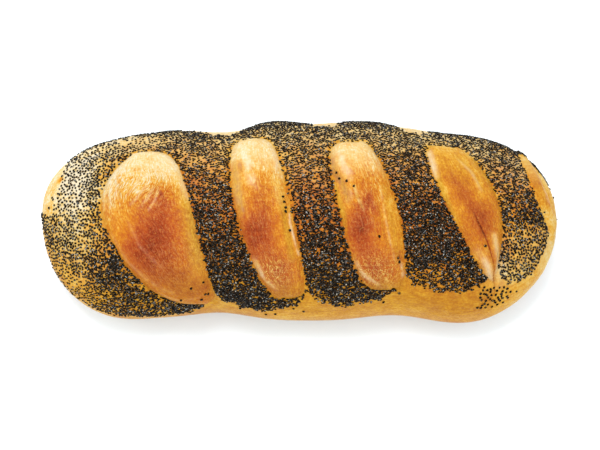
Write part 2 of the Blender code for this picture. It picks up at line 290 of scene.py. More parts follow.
# Marks in the opened crumb: cut, path in (mm along, degrees round), half width in mm, lift in mm, then how much
# browner, creamier and yellower it is there. Where a mark sinks the crumb it is made browner too, all but the
# hollow streak of the third cut: painted shade in the dip.
MARKS = (
    # first cut: pale strands down its left side, slanting wrinkles, a pit, and painted shade in a dip at the right
    # lip
    (0, ((-97.6, -13), (-97.0, 14)), 0.6, 0.14, 0.0, 0.95, 0.0),
    (0, ((-93.8, -17), (-92.9, 13)), 0.6, 0.16, 0.0, 1.0, 0.0),
    (0, ((-90.6, -16), (-89.8, 5)), 0.5, 0.14, 0.0, 0.85, 0.0),
    (0, ((-95.6, -14), (-95.0, 8)), 0.45, -0.10, 0.12, 0.0, 0.0),
    (0, ((-95.4, -6), (-94.8, 18)), 0.6, -0.08, 0.10, 0.0, 0.0),
    (0, ((-82.4, 10), (-77.0, 0), (-73.4, -9)), 0.7, 0.16, 0.0, 0.50, 0.0),
    (0, ((-78.6, 13), (-74.0, 5), (-71.2, -5)), 0.7, 0.15, 0.0, 0.42, 0.0),
    (0, ((-73.6, 14), (-70.4, 6), (-68.3, -6)), 0.6, 0.13, 0.0, 0.35, 0.0),
    (0, ((-84.8, 3), (-80.4, -5), (-77.4, -13)), 0.7, 0.14, 0.0, 0.42, 0.0),
    (0, ((-80.6, 9), (-75.6, 1), (-72.6, -7)), 0.6, -0.12, 0.12, 0.0, 0.0),
    (0, ((-76.3, 12), (-72.4, 5), (-69.8, -4)), 0.6, -0.12, 0.12, 0.0, 0.0),
    (0, ((-68.0, -1), (-66.8, 4)), 0.9, -0.20, 0.38, 0.0, 0.0),
    (0, ((-83.4, 7), (-82.2, 11)), 0.7, -0.15, 0.28, 0.0, 0.0),
    (0, ((-81.6, -21), (-81.2, -18)), 1.0, -0.60, 0.34, 0.0, 0.2),
    (0, ((-78.9, -22), (-78.2, -20)), 1.0, 0.35, 0.0, 0.50, 0.0),
    (0, ((-83.9, -16), (-83.2, -14)), 0.8, 0.25, 0.0, 0.40, 0.0),
    (0, ((-58.0, -18), (-53.8, 8), (-50.6, 34), (-49.4, 56)), 5.2, 0.0, -0.05, 0.04, 1.0),
    (0, ((-60.4, -22), (-57.0, -6), (-54.6, 4)), 1.8, 0.10, 0.0, 0.55, 0.2),
    # painted shade in the dip at the right lip
    (0, ((-50.8, 24), (-48.9, 40)), 0.9, -0.30, 0.20, 0.0, 0.6),
    (0, ((-93.0, 32), (-85.0, 48), (-74.0, 59), (-62.0, 66)), 1.1, 0.14, -0.02, 0.12, 0.15),
    (0, ((-88.5, 24), (-81.0, 42), (-70.5, 54), (-60.0, 60)), 0.9, -0.12, 0.05, 0.0, 0.0),
    (0, ((-84.0, 22), (-77.5, 38), (-67.0, 50)), 0.8, 0.12, 0.0, 0.12, 0.0),
    (0, ((-70.0, 68), (-60.0, 72), (-50.0, 71)), 0.8, 0.10, 0.0, 0.18, 0.1),
    (0, ((-64.0, 62), (-55.0, 66), (-48.5, 65)), 0.8, -0.10, 0.05, 0.0, 0.0),
    # second cut: side groove with painted shade in it, pale mound, raised lip with a painted highlight along it,
    # and pale fold at the low end
    (1, ((-32.0, -26), (-30.0, -2), (-28.0, 13)), 2.5, 0.0, 0.24, 0.22, 1.0),
    # painted shade in the side groove
    (1, ((-29.7, -25), (-28.8, -16)), 1.0, -0.75, 0.26, 0.0, 0.8),
    (1, ((-29.6, -40), (-26.2, -27), (-24.2, -14), (-22.3, -5)), 2.2, 0.35, -0.10, 0.72, 0.0),
    (1, ((-13.6, -38), (-11.0, -24), (-9.2, -14)), 2.2, 0.10, 0.0, 0.70, 0.1),
    (1, ((-9.8, -4), (-7.4, 14), (-5.2, 30), (-3.2, 43)), 2.2, -0.10, 0.11, 0.0, 1.0),
    # raised lip with a painted highlight along it
    (1, ((-4.9, 12), (-4.5, 19), (-2.4, 30), (-0.3, 39)), 0.45, 0.75, 0.0, 1.0, 0.0),
    (1, ((-21.8, 42), (-17.9, 53), (-11.4, 61)), 1.4, 0.28, -0.10, 0.52, 0.2),
    (1, ((-23.4, 40), (-20.0, 54), (-14.0, 63)), 0.8, -0.20, 0.04, 0.0, 0.0),
    (1, ((-13.4, -16), (-11.0, -4), (-9.2, 7)), 2.6, 0.0, -0.08, 0.10, 0.5),
    # third cut: side groove with painted shade in it, pale mound, hollow streak, strands, fold, bottom arc
    # painted shade in the side groove
    (2, ((15.2, -32), (17.0, -19.4), (20.0, -10.5), (22.6, -2)), 1.3, -0.95, 0.34, 0.0, 1.0),
    (2, ((19.4, -34), (21.6, -23), (24.6, -13)), 2.2, 0.32, -0.04, 0.85, 0.0),
    (2, ((15.2, -20), (17.0, -8), (19.6, 4), (22.4, 20)), 1.8, 0.10, -0.02, 0.0, 1.0),
    (2, ((26.6, -7), (28.4, 2), (31.2, 10)), 0.8, -0.45, -0.18, 0.30, 0.9),
    (2, ((24.6, -6), (25.6, 3)), 0.7, 0.12, 0.0, 0.30, 0.5),
    (2, ((34.0, 0), (37.4, 14)), 1.9, 0.10, 0.24, 0.0, 0.0),
    (2, ((39.4, -8), (41.3, 12), (43.8, 29), (46.3, 42)), 0.5, 0.16, -0.06, 0.25, 0.6),
    (2, ((38.4, 2), (41.0, 24), (44.0, 38)), 0.8, -0.18, 0.08, 0.0, 0.5),
    # painted shade in a dip near the low right lip
    (2, ((48.6, 37), (49.6, 46)), 0.8, -0.40, 0.30, 0.0, 0.8),
    (2, ((40.6, -12), (44.4, 12), (47.0, 32), (48.8, 46)), 2.6, 0.0, 0.05, 0.0, 0.7),
    (2, ((19.0, -16), (21.8, -6), (24.0, 5)), 2.0, 0.0, 0.21, 0.18, 1.0),
    (2, ((25.1, 42), (29.7, 54), (37.2, 61.6)), 0.8, -0.40, 0.06, 0.0, 0.0),
    (2, ((27.3, 42), (31.6, 52), (38.6, 58)), 1.0, 0.22, -0.08, 0.48, 0.4),
    (2, ((50.0, 45), (51.0, 55)), 0.7, 0.15, 0.0, 0.60, 0.0),
    # fourth cut: white streak on its upper left that is a painted highlight, yellow strands, pale banks of the
    # crease
    # painted highlight on the upper left of the fourth cut
    (3, ((64.9, -42), (66.0, -32), (67.8, -18)), 1.3, 0.15, -0.10, 0.85, 0.9),
    (3, ((67.6, -26), (69.6, -14), (73.0, 2), (78.4, 22)), 1.8, 0.0, -0.07, 0.0, 1.0),
    (3, ((72.0, -40), (80.8, -32), (87.0, -20), (91.0, -6)), 2.4, 0.0, -0.04, 0.0, 1.0),
    (3, ((78.6, -33), (84.8, -24), (89.6, -8)), 1.0, 0.10, -0.04, 0.26, 0.9),
    (3, ((73.0, -27), (79.0, -22), (84.0, -12)), 0.8, -0.14, 0.08, 0.0, 0.0),
    (3, ((90.0, 44), (92.6, 51), (95.2, 63)), 1.4, 0.10, -0.06, 0.76, 0.7),
    (3, ((86.8, 38), (90.0, 45)), 2.0, 0.0, -0.04, 0.16, 0.4),
    (3, ((95.2, 28), (96.5, 37), (97.5, 46)), 1.5, 0.10, -0.16, 0.50, 0.9),
    (3, ((97.6, 46), (98.2, 53), (98.2, 60)), 1.0, 0.10, -0.12, 0.85, 0.5),
    # fifth cut: one brown line down its middle and a pale left side
    (4, ((124.8, -46), (127.0, -24), (128.4, 2)), 0.6, -0.22, 0.24, 0.0, 0.0),
    (4, ((120.6, -52), (124.8, -30), (126.4, -10)), 1.1, 0.10, 0.0, 0.35, 0.2),
)


def crease_line():
    pts = np.array(CREASE)
    t = np.linspace(0, len(pts) - 1, 40)
    k = np.arange(len(pts))
    x = np.interp(t, k, pts[:, 0]) * MM
    a = np.radians(np.interp(t, k, pts[:, 1]))
    return body_point(x, a)


def crease_fields(x, deg):
    """How far (mm) each point lies to the side of the crease, and how strongly its painted shade shows."""
    at, turn = np.array(CREASE).T
    slope = np.interp(deg, turn, np.gradient(at, turn * 0.87))
    aside = (x / MM - np.interp(deg, turn, at)) / np.sqrt(1 + slope ** 2)
    along = (deg - turn[0]) / (turn[-1] - turn[0])
    fade = step(0.05, 0.36, along) * step(1.0, 0.90, along) * (1 - 0.60 * step(0.50, 0.72, along))
    return np.clip(aside, -8.0, 8.0), fade


def stroke(x, deg, path, half):
    """A soft line on the crust that tapers off at both ends."""
    p = np.stack([x / MM, deg * 0.87], -1)
    line = np.array(path, float) * (1.0, 0.87)
    lo, hi = line.min(0) - 4 * half, line.max(0) + 4 * half
    near = ((p > lo) & (p < hi)).all(1)
    out = np.zeros(len(x))
    if near.any():
        d, along = nearest(p[near], line)
        taper = np.sqrt(np.clip(4 * along * (1 - along), 0.0, 1.0)) if len(line) > 1 else 1
        out[near] = np.exp(-(d / half) ** 2) * (0.35 + 0.65 * taper)
    return out


def crumb_flow(x, theta, info):
    """Place in the crumb along and across its strands; they slant in the first cut."""
    deg = np.degrees(theta)
    dx, dt = x / MM + 76.5, (deg + 1.0) * 0.87
    turn = math.radians(-42.0) * np.exp(-(dx * dx + dt * dt) / 12.0 ** 2)
    c, s = np.cos(turn), np.sin(turn)
    xs = (-76.5 + c * dx - s * dt) * MM
    ts = np.radians(-1.0 + (s * dx + c * dt) / 0.87)
    cut = CUTS[0]
    tau = ((ts - math.radians(cut["theta"][0]))
           / math.radians(cut["theta"][1] - cut["theta"][0]))
    _, _, left, right = cut_line(cut, np.clip(tau, 0.02, 0.98))
    across = np.clip((xs - left) / np.maximum(right - left, 0.004), -0.5, 1.5)
    first = (info["index"] == 0) & info["inside"]
    across = np.where(first, across * 1.5, info["across"])
    tau = np.where(first, tau, info["tau"])
    return across, tau


def fine_relief(x, theta, points, info):
    """Small forms of the crust (m), on top of the large ones."""
    deg = np.degrees(theta)
    info["flow_across"], info["flow_along"] = crumb_flow(x, theta, info)
    cut = info["inside"]
    inner = step(0.0, 2.0 * MM, np.where(cut, info["lips"], 0.0))
    outer = step(0.0, 2.0 * MM, np.where(cut, 0.0, info["lips"]))
    low = step(112.0, 92.0, np.abs(deg))
    out = np.zeros(len(x))
    # seeded and bare skin: soft lumps
    skin = 0.30 * noise(points, 9 * MM, 3) + 0.14 * noise(points, 4 * MM, 4) \
        + 0.06 * noise(points, 2.0 * MM, 5)
    out += skin * MM * outer * low
    # opened crumb: folds that run along the cut, lumps and fine wrinkles
    flow = np.stack([info["flow_across"] * 30 * MM + 0.5 * MM * noise(points, 6 * MM, 6),
                     info["flow_along"] * 95 * MM, info["index"] * 50 * MM], -1)
    folds = 0.13 * noise(flow, (3.0 * MM, 17 * MM, 9 * MM), 7) \
        + 0.13 * noise(flow, (1.6 * MM, 7 * MM, 9 * MM), 8)
    swell = 0.34 * noise(points, 11 * MM, 9)
    grain = 0.09 * noise(points, (1.5 * MM, 2.0 * MM, 2.0 * MM), 10) \
        + 0.05 * noise(points, 1.1 * MM, 11)
    out += (folds + swell + grain) * MM * inner
    # crinkled skin at the low ends of the second and third cuts
    wrinkle = np.abs(noise(points, (1.7 * MM, 1.3 * MM, 1.5 * MM), 13)) - 0.3
    zone = (spot(x, deg, (-11, 50), (7.0, 8.5), -35) * (info["index"] == 1)
            + spot(x, deg, (38, 49), (8.5, 8), 0) * (info["index"] == 2)
            + 0.6 * spot(x, deg, (-72, 0), (9, 16), 0) * (info["index"] == 0)) * cut
    out += 0.30 * MM * wrinkle * zone * inner
    for number, path, half, lift, _, _, _ in MARKS:
        if lift:
            here = (info["index"] == number) & cut
            out += lift * MM * stroke(x, deg, path, half) * here * step(
                0.0, 0.7 * MM, info["lips"])
    out -= 0.6 * MM * stroke(x, deg, ((-121.7, -37), (-121.4, -31)), 1.2)
    # the crease of the fourth cut, with a soft bank on each side
    d, along = nearest(points, crease_line())
    keep = step(0.0, 0.30, along) * step(1.0, 0.86, along)
    out += keep * (0.40 * MM * np.exp(-((d - 1.7 * MM) / (1.2 * MM)) ** 2)
                   - 0.95 * MM * np.exp(-(d / (0.6 * MM)) ** 2))
    return out


# ------------------------------------------------- the crust mesh
def ring_angles():
    """Angles from the crown down to the edge of the base, on both sides."""
    front = np.concatenate([np.linspace(0, 80, 87)[:-1], np.linspace(80, 100, 11)])
    back = np.concatenate([np.linspace(0, 62, 67)[:-1], np.linspace(62, 100, 17)])
    return np.radians(front), np.radians(back)


EDGE_STEPS = 7
BASE_STEPS = 5


def base_edge(x, side):
    _, back, front, _, keel, wide = section_sizes(x)
    half = front if side > 0 else back
    if keel <= wide:
        return math.pi, 0.0
    reach = half * (1.0 - (wide / keel) ** LOWER_POWER) ** (1.0 / LOWER_POWER)
    return math.pi - math.atan2(reach, wide), reach


def crust_grid():
    """x, theta and the flag of the flat base for every vertex, ring by ring."""
    rows_x, rows_t, flats = [], [], []
    tops = ring_angles()
    for i in range(1, STATIONS):
        g = 2.0 * i / STATIONS - 1.0
        x = HALF * g * (1.25 - 0.25 * g ** 4)
        halves = []
        for side, top in ((1, tops[0]), (-1, tops[1])):
            edge, reach = base_edge(x, side)
            if edge >= math.pi:
                more = np.linspace(top[-1], math.pi, EDGE_STEPS + BASE_STEPS + 1)[1:-1]
                run = np.concatenate([top, more])
                flat = np.zeros(len(run), bool)
                reach_at = np.zeros(len(run))
            else:
                more = np.linspace(top[-1], edge, EDGE_STEPS + 1)[1:]
                run = np.concatenate([top, more, np.full(BASE_STEPS - 1, math.pi)])
                flat = np.zeros(len(run), bool)
                flat[len(top) + EDGE_STEPS:] = True
                reach_at = np.zeros(len(run))
                reach_at[flat] = reach * (1 - np.arange(1, BASE_STEPS) / BASE_STEPS)
            halves.append((run * side, flat, reach_at * side))
        f, b = halves
        theta = np.concatenate([f[0], [math.pi], b[0][1:][::-1]])
        flat = np.concatenate([f[1], [base_edge(x, 1)[0] < math.pi], b[1][1:][::-1]])
        at = np.concatenate([f[2], [0.0], b[2][1:][::-1]])
        rows_x.append(np.full(len(theta), x))
        rows_t.append(theta)
        flats.append(np.stack([flat.astype(float), at], -1))
    return np.array(rows_x), np.array(rows_t), np.array(flats)


def make_crust():
    X, T, FL = crust_grid()
    rows, cols = X.shape
    x, theta = X.ravel(), T.ravel()
    flat = FL[..., 0].ravel() > 0.5
    base = body_point(x, theta)
    normal = body_normal(x, theta)
    info = study(x, theta, base)
    fine = fine_relief(x, theta, base, info)
    low = np.clip((math.radians(118.0) - np.abs(theta)) / math.radians(28.0), 0, 1)
    tip = np.clip((HALF - np.abs(x)) / 0.0003, 0, 1)
    lift = (info["rise"] + fine) * low * low * (3 - 2 * low) * tip
    pts = base + normal * lift[:, None]
    pts[:, 2] = np.maximum(pts[:, 2], 0.0)
    mid = section_sizes(x)[0]
    pts[flat] = np.stack([x, mid - FL[..., 1].ravel(), np.zeros(len(x))], -1)[flat]

    ends = np.array([body_point(np.array([-HALF]), np.array([0.0]))[0],
                     body_point(np.array([HALF]), np.array([0.0]))[0]])
    pts = np.concatenate([pts, ends])
    n = rows * cols
    idx = np.arange(n).reshape(rows, cols)
    nxt = np.roll(idx, -1, axis=1)
    quads = np.stack([idx[:-1], idx[1:], nxt[1:], nxt[:-1]], -1).reshape(-1, 4)
    first = [(int(a), int(b), n) for a, b in zip(idx[0], nxt[0])]
    last = [(int(a), n + 1, int(b)) for a, b in zip(idx[-1], nxt[-1])]
    faces = quads.tolist() + first + last
    mesh = bpy.data.meshes.new("crust")
    mesh.from_pydata(pts.tolist(), [], faces)
    mesh.update()
    # outward faces
    if signed_volume(pts, quads) < 0:
        mesh.flip_normals()
    mesh.shade_smooth()
    obj = bpy.data.objects.new("crust", mesh)
    bpy.context.scene.collection.objects.link(obj)

    def pad(v, end=0.0):
        return np.concatenate([v, np.full(2, end)])

    data = {k: pad(v.astype(float)) for k, v in info.items()}
    data["x"] = np.concatenate([x, [-HALF, HALF]])
    data["theta"] = pad(theta)
    data["flat"] = pad(flat.astype(float))
    return obj, pts, quads, data


def signed_volume(p, q):
    a, b, c, d = (p[q[:, k]] for k in range(4))
    return float((np.cross(a, b) * c).sum() + (np.cross(a, c) * d).sum())


# ------------------------------------------------- how each place is baked
def bake_fields(points, data):
    """Colour fields of the crust: how brown, how creamy and how yellow."""
    x, deg = data["x"], np.degrees(data["theta"])
    deg = np.where(deg < -180, deg + 360, deg)
    index = data["index"]
    cut = data["inside"] > 0.5
    lips = data["lips"]
    inside = step(0.0, 0.9 * MM, np.where(cut, lips, 0.0))

    # skin: cream at the back, red-brown over the crown, golden tan at the front
    skin = np.interp(deg, [-180, -110, -85, -62, -48, -30, -10, 12, 35, 55, 75, 92, 115, 180],
                     [0.60, 0.36, 0.17, 0.18, 0.26, 0.41, 0.54, 0.63, 0.60, 0.54,
                      0.51, 0.46, 0.50, 0.62])
    gold = np.interp(deg, [-180, -110, -60, -20, 25, 50, 70, 84, 102, 118, 180],
                     [0.45, 0.35, 0.30, 0.30, 0.30, 0.55, 0.9, 0.88, 0.66, 0.42, 0.45])
    ends = step(0.086, 0.112, np.abs(x)) * step(112, 96, np.abs(deg))
    left = np.interp(deg, [-90, -62, -45, -10, 12, 35, 60, 90],
                     [0.12, 0.08, 0.03, 0.00, 0.03, 0.18, 0.36, 0.40])
    right = np.interp(deg, [-90, -55, -30, 0, 30, 60, 90],
                      [0.26, 0.32, 0.42, 0.46, 0.36, 0.30, 0.32])
    skin = skin + ends * (np.where(x < 0, left, right) - skin)
    gold = gold + ends * (np.interp(deg, [-60, 0, 40, 90], [0.0, 0.08, 0.5, 0.75]) - gold)
    gold = gold - 0.25 * spot(x, deg, (103, 48), (6, 14))
    # the tip beyond the last cut is as pale and golden as the cut itself
    beyond = step(118.5, 123.5, x / MM) * step(44, 24, deg)
    skin = skin + beyond * (0.28 - skin)
    gold = gold + beyond * (0.6 - gold)
    skin = skin - 0.10 * step(120, 127, x / MM) * step(20, 50, deg) * step(150, 112, deg)
    skin = skin + 0.12 * step(-117, -124, x / MM) * step(60, 20, deg)
    skin = skin + 0.12 * spot(x, deg, (78, 74), (15, 9)) + 0.08 * spot(x, deg, (20, 84), (16, 6)) \
        + 0.34 * stroke(x, deg, ((-121.7, -38), (-121.5, -30)), 1.5) \
        + 0.10 * stroke(x, deg, ((-126, -30), (-127, 6)), 1.5) \
        - 0.05 * spot(x, deg, (-50, 92), (9, 6)) - 0.10 * spot(x, deg, (104, 66), (6, 7)) \
        + 0.10 * spot(x, deg, (102, 67), (2, 3)) - 0.16 * spot(x, deg, (101, 56), (4, 6))
    skin = skin + 0.11 * spot(x, deg, (-38, 99), (14, 8)) + 0.07 * spot(x, deg, (111, 80), (8, 10)) \
        - 0.06 * spot(x, deg, (8, 95), (26, 9))
    skin = skin + 0.09 * fractal(points, 12 * MM, 4, 21)

    # opened crumb of each cut
    crumb = np.full(len(x), 0.46)
    yellow = np.full(len(x), 0.15)
    one, two, three, four, five = (index == k for k in range(5))
    v = 0.44 - 0.28 * step(16, -25, deg) - 0.05 * step(-24, -40, deg)
    v += 0.52 * spot(x, deg, (-71, 34), (8.2, 17), 24) + 0.20 * spot(x, deg, (-62, 46), (7, 10), 20) \
        - 0.07 * spot(x, deg, (-75, -5), (6, 7))
    v += 0.13 * spot(x, deg, (-79, 40), (6, 9)) + 0.12 * spot(x, deg, (-73, 12), (7, 10)) \
        + 0.10 * spot(x, deg, (-49, 66), (8, 8))
    v += 0.26 * spot(x, deg, (-67.5, 4), (5, 8), 12) + 0.22 * spot(x, deg, (-58, 62), (14, 9), 16)
    v -= 0.20 * spot(x, deg, (-95, -12), (3.2, 11)) + 0.03 * spot(x, deg, (-94, 20), (4, 14))
    v += 0.07 * spot(x, deg, (-51, 46), (6, 18), 8)
    crumb = np.where(one, v, crumb)
    yellow = np.where(one, 0.12 + 0.55 * spot(x, deg, (-54, 62), (11, 11))
                      + 0.25 * spot(x, deg, (-80, 60), (10, 9)), yellow)
    v = 0.42 - 0.26 * step(2, -36, deg) + 0.62 * spot(x, deg, (-20.2, 27), (5.2, 13), 14)
    v += 0.14 * spot(x, deg, (-17.5, -4), (3.4, 10), 10) + 0.14 * spot(x, deg, (-25, 16), (3, 14), 10)
    v += 0.34 * spot(x, deg, (-11, 48), (8, 10), -30) + 0.20 * spot(x, deg, (-10, 64), (9, 6))
    v -= 0.11 * spot(x, deg, (-18.5, 44), (3, 8))
    crumb = np.where(two, v, crumb)
    yellow = np.where(two, 0.15 + 0.6 * spot(x, deg, (-6, 64), (7, 6)), yellow)
    v = 0.42 - 0.24 * step(-8, -38, deg) + 0.54 * spot(x, deg, (30, 20), (4.8, 11), 10)
    v += 0.14 * spot(x, deg, (32, -10), (4.6, 9), 12) + 0.18 * spot(x, deg, (34, 32), (6, 9), 0)
    v += 0.14 * spot(x, deg, (32.5, 4), (2.4, 6), 10)
    v += 0.30 * spot(x, deg, (37, 48), (9, 8)) + 0.18 * spot(x, deg, (38, 62), (9, 5))
    crumb = np.where(three, v, crumb)
    yellow = np.where(three, 0.15 + 0.7 * spot(x, deg, (42, 62), (8, 5)), yellow)
    v = 0.45 - 0.07 * step(-30, -46, deg) + 0.08 * step(-6, 14, deg)
    v += 0.30 * stroke(x, deg, ((71.5, -25), (77.5, -13), (83.0, 0), (88.0, 13), (91.5, 26)), 4.0) \
        + 0.10 * spot(x, deg, (80.5, -10), (3.4, 9), 20)
    v += 0.12 * spot(x, deg, (87, 28), (6, 10), 20) + 0.16 * spot(x, deg, (93.5, 5), (3.4, 13), 16)
    crumb = np.where(four, v, crumb)
    yellow = np.where(four, 0.35 + 0.35 * step(-4, -30, deg), yellow)
    crumb = np.where(five, 0.30 + 0.20 * step(-60, -36, deg) * step(-5, -20, deg) - 0.03 * step(-5, 30, deg), crumb)
    yellow = np.where(five, 0.45, yellow)
    crumb = crumb + 0.07 * fractal(points, 8 * MM, 3, 22)
    # the lips themselves stay golden
    rim = np.exp(-lips / (1.6 * MM))
    crumb = crumb * (1 - 0.35 * rim) + 0.42 * 0.35 * rim
    # cream over the upper parts of the first three cuts and at a few spots: paler crust, partly a painted highlight
    pale = 0.26 * step(-10, -30, deg) * (one | two | three) \
        + 0.30 * spot(x, deg, (-62, -26), (6, 8)) * one + 0.28 * spot(x, deg, (-95, -16), (4, 16)) * one \
        + 0.03 * spot(x, deg, (-11, 50), (6, 7), -35) * two \
        + 0.02 * spot(x, deg, (38, 49), (8, 7)) * three \
        + 0.14 * spot(x, deg, (119, -54), (6, 10)) * five
    # where thin pale strands show; their paleness is partly a painted highlight
    strand = 0.90 * spot(x, deg, (-92, -6), (5, 16)) * one \
        + 0.62 * spot(x, deg, (-75, -6), (12, 13)) * one \
        + 0.16 * spot(x, deg, (-66, 40), (13, 22), 20) * one \
        + 0.42 * spot(x, deg, (-17, -14), (7, 16), 8) * two \
        + 0.20 * spot(x, deg, (-17, 24), (8, 14), 8) * two \
        + 0.42 * spot(x, deg, (36, -14), (7, 16), 8) * three \
        + 0.20 * spot(x, deg, (34, 20), (8, 12), 8) * three \
        + 0.20 * spot(x, deg, (93, 44), (6, 12)) * four + 0.08 * four
    # and where the skin is crinkled
    crinkle = spot(x, deg, (-12, 49), (6.5, 8.5), -35) * two \
        + spot(x, deg, (37, 49), (9, 8.5)) * three \
        + 0.45 * spot(x, deg, (-72, -2), (10, 14)) * one \
        + 0.35 * spot(x, deg, (-62, 44), (9, 14), 20) * one \
        + 0.30 * spot(x, deg, (-17, 6), (6, 16), 10) * two \
        + 0.30 * spot(x, deg, (33, 0), (7, 16), 10) * three
    broken = np.clip(0.85 + 0.75 * noise(points, 2.2 * MM, 41), 0.0, 1.0)
    for number, path, half, _, brown, cream, amber in MARKS:
        m = stroke(x, deg, path, half) * (index == number)
        yellow = np.maximum(yellow, amber * m)
        m = m * (broken if number != 3 else 0.8 + 0.2 * broken)
        crumb = crumb + brown * m
        pale = np.maximum(pale, cream * m)
        if cream > 0.3 and number != 3:
            yellow = yellow * (1 - 0.6 * m)

    bake = skin + (crumb - skin) * inside
    d, along = nearest(points, crease_line())
    bake = bake + 0.05 * np.exp(-(d / (1.3 * MM)) ** 2) * step(0.0, 0.20, along) * step(0.60, 0.40, along)
    # pale wash outside the cuts: on the back rows part flour dust and part painted sheen of the grazing light;
    # lower down and at the ends only flour dust
    dust_and_sheen = np.interp(deg, [-95, -62, -45, -25, -5, 15, 40], [0.50, 0.60, 0.58, 0.31, 0.13, 0.05, 0.0])
    dust_and_sheen = dust_and_sheen * (1 - step(-90, -104, x / MM)) * step(0.4, 1.0, lips / (2.0 * MM))
    dust_and_sheen = dust_and_sheen * (1 - step(112, 122, x / MM))
    low = 0.16 * step(90, 100, deg) * (1 - 0.8 * spot(x, deg, (75, 96), (28, 12))) + (0.29 + 0.20 * fractal(points, 14 * MM, 2, 26)) * step(101, 116, deg)
    dust_and_sheen = np.maximum(dust_and_sheen, low * step(150, 128, deg) * (1 - 0.85 * step(104, 122, np.abs(x / MM))))
    dust_and_sheen = np.maximum(dust_and_sheen, 0.24 * step(84, 108, np.abs(x / MM)) * step(12, 36, deg) * step(80, 58, deg))
    dust_and_sheen = np.maximum(dust_and_sheen, 0.6 * spot(x, deg, (100.0, 53), (2.8, 9)) + 0.16 * spot(x, deg, (105, 48), (5, 14)))
    pale = np.clip(pale, 0, 1) * inside + np.clip(dust_and_sheen, 0, 1) * (1 - inside)
    yellow = gold + (np.clip(yellow, 0, 1) - gold) * inside
    # the blunt tips are evenly coloured
    way = np.hypot(points[:, 1] - section_sizes(x)[0], points[:, 2] - WIDE_LINE + WIDE_LINE_DROP)
    tip = np.exp(-(way / (11 * MM)) ** 2) * step(0.124, 0.129, np.abs(x)) * (1 - inside)
    grain = 0.05 * fractal(points, 6 * MM, 3, 27)
    bake = bake + tip * (np.where(x < 0, 0.20, 0.33) + grain - bake)
    pale = pale + tip * (0.12 - pale)
    yellow = yellow + tip * (np.where(x < 0, 0.20, 0.50) - yellow)
    return (bake, pale, yellow, np.clip(strand, 0, 1) * inside,
            np.clip(crinkle, 0, 1) * inside)


def put(mesh, name, values, kind="FLOAT"):
    a = mesh.attributes.new(name, kind, "POINT")
    key = "value" if kind == "FLOAT" else "vector"
    a.data.foreach_set(key, np.asarray(values, np.float32).ravel())


# ------------------------------------------------- node helpers
def srgb(*c):
    out = []
    for v in c:
        v = v / 255.0
        out.append(v / 12.92 if v <= 0.04045 else ((v + 0.055) / 1.055) ** 2.4)
    return (*out, 1.0)


LIGHT = 1.56        # how bright a white card on the crown would look
SHEEN = 0.004       # what the gloss adds


def tone(*c):
    """Colour of the crust that looks like the given one under the studio light."""
    return (*(max((v - SHEEN) / LIGHT, 0.003) for v in srgb(*c)[:3]), 1.0)


class Nodes:
    """Short hand for building one material."""

    def __init__(self, name):
        self.mat = bpy.data.materials.new(name)
        self.mat.use_nodes = True
        self.tree = self.mat.node_tree
        self.bsdf = self.tree.nodes["Principled BSDF"]

    def new(self, kind, **props):
        n = self.tree.nodes.new(kind)
        for k, v in props.items():
            setattr(n, k, v)
        return n

    def link(self, a, b):
        self.tree.links.new(a, b)

    def attr(self, name):
        return self.new("ShaderNodeAttribute", attribute_name=name)

    def noise(self, vector, scale, detail=3.0, rough=0.55, stretch=None):
        if stretch is not None:
            m = self.new("ShaderNodeMapping")
            m.inputs["Scale"].default_value = stretch
            self.link(vector, m.inputs["Vector"])
            vector = m.outputs["Vector"]
        n = self.new("ShaderNodeTexNoise")
        n.inputs["Scale"].default_value = scale
        n.inputs["Detail"].default_value = detail
        n.inputs["Roughness"].default_value = rough
        self.link(vector, n.inputs["Vector"])
        return n.outputs["Fac"]

    def math(self, op, a, b=None, c=None, clamp=False):
        n = self.new("ShaderNodeMath", operation=op, use_clamp=clamp)
        for i, v in enumerate((a, b, c)):
            if v is None:
                continue
            if isinstance(v, (int, float)):
                n.inputs[i].default_value = v
            else:
                self.link(v, n.inputs[i])
        return n.outputs[0]

    def remap(self, v, lo, hi, to_lo=0.0, to_hi=1.0):
        n = self.new("ShaderNodeMapRange", clamp=True)
        self.link(v, n.inputs["Value"])
        n.inputs["From Min"].default_value = lo
        n.inputs["From Max"].default_value = hi
        n.inputs["To Min"].default_value = to_lo
        n.inputs["To Max"].default_value = to_hi
        return n.outputs["Result"]

    def ramp(self, v, stops):
        n = self.new("ShaderNodeValToRGB")
        cr = n.color_ramp
        while len(cr.elements) < len(stops):
            cr.elements.new(0.5)
        for e, (at, col) in zip(cr.elements, stops):
            e.position = at
            e.color = col
        self.link(v, n.inputs["Fac"])
        return n.outputs["Color"]

    def mix(self, fac, a, b, blend="MIX"):
        n = self.new("ShaderNodeMix", data_type="RGBA", blend_type=blend)
        for key, v in ((0, fac), (6, a), (7, b)):
            if isinstance(v, (int, float, tuple)):
                n.inputs[key].default_value = v
            else:
                self.link(v, n.inputs[key])
        return n.outputs[2]


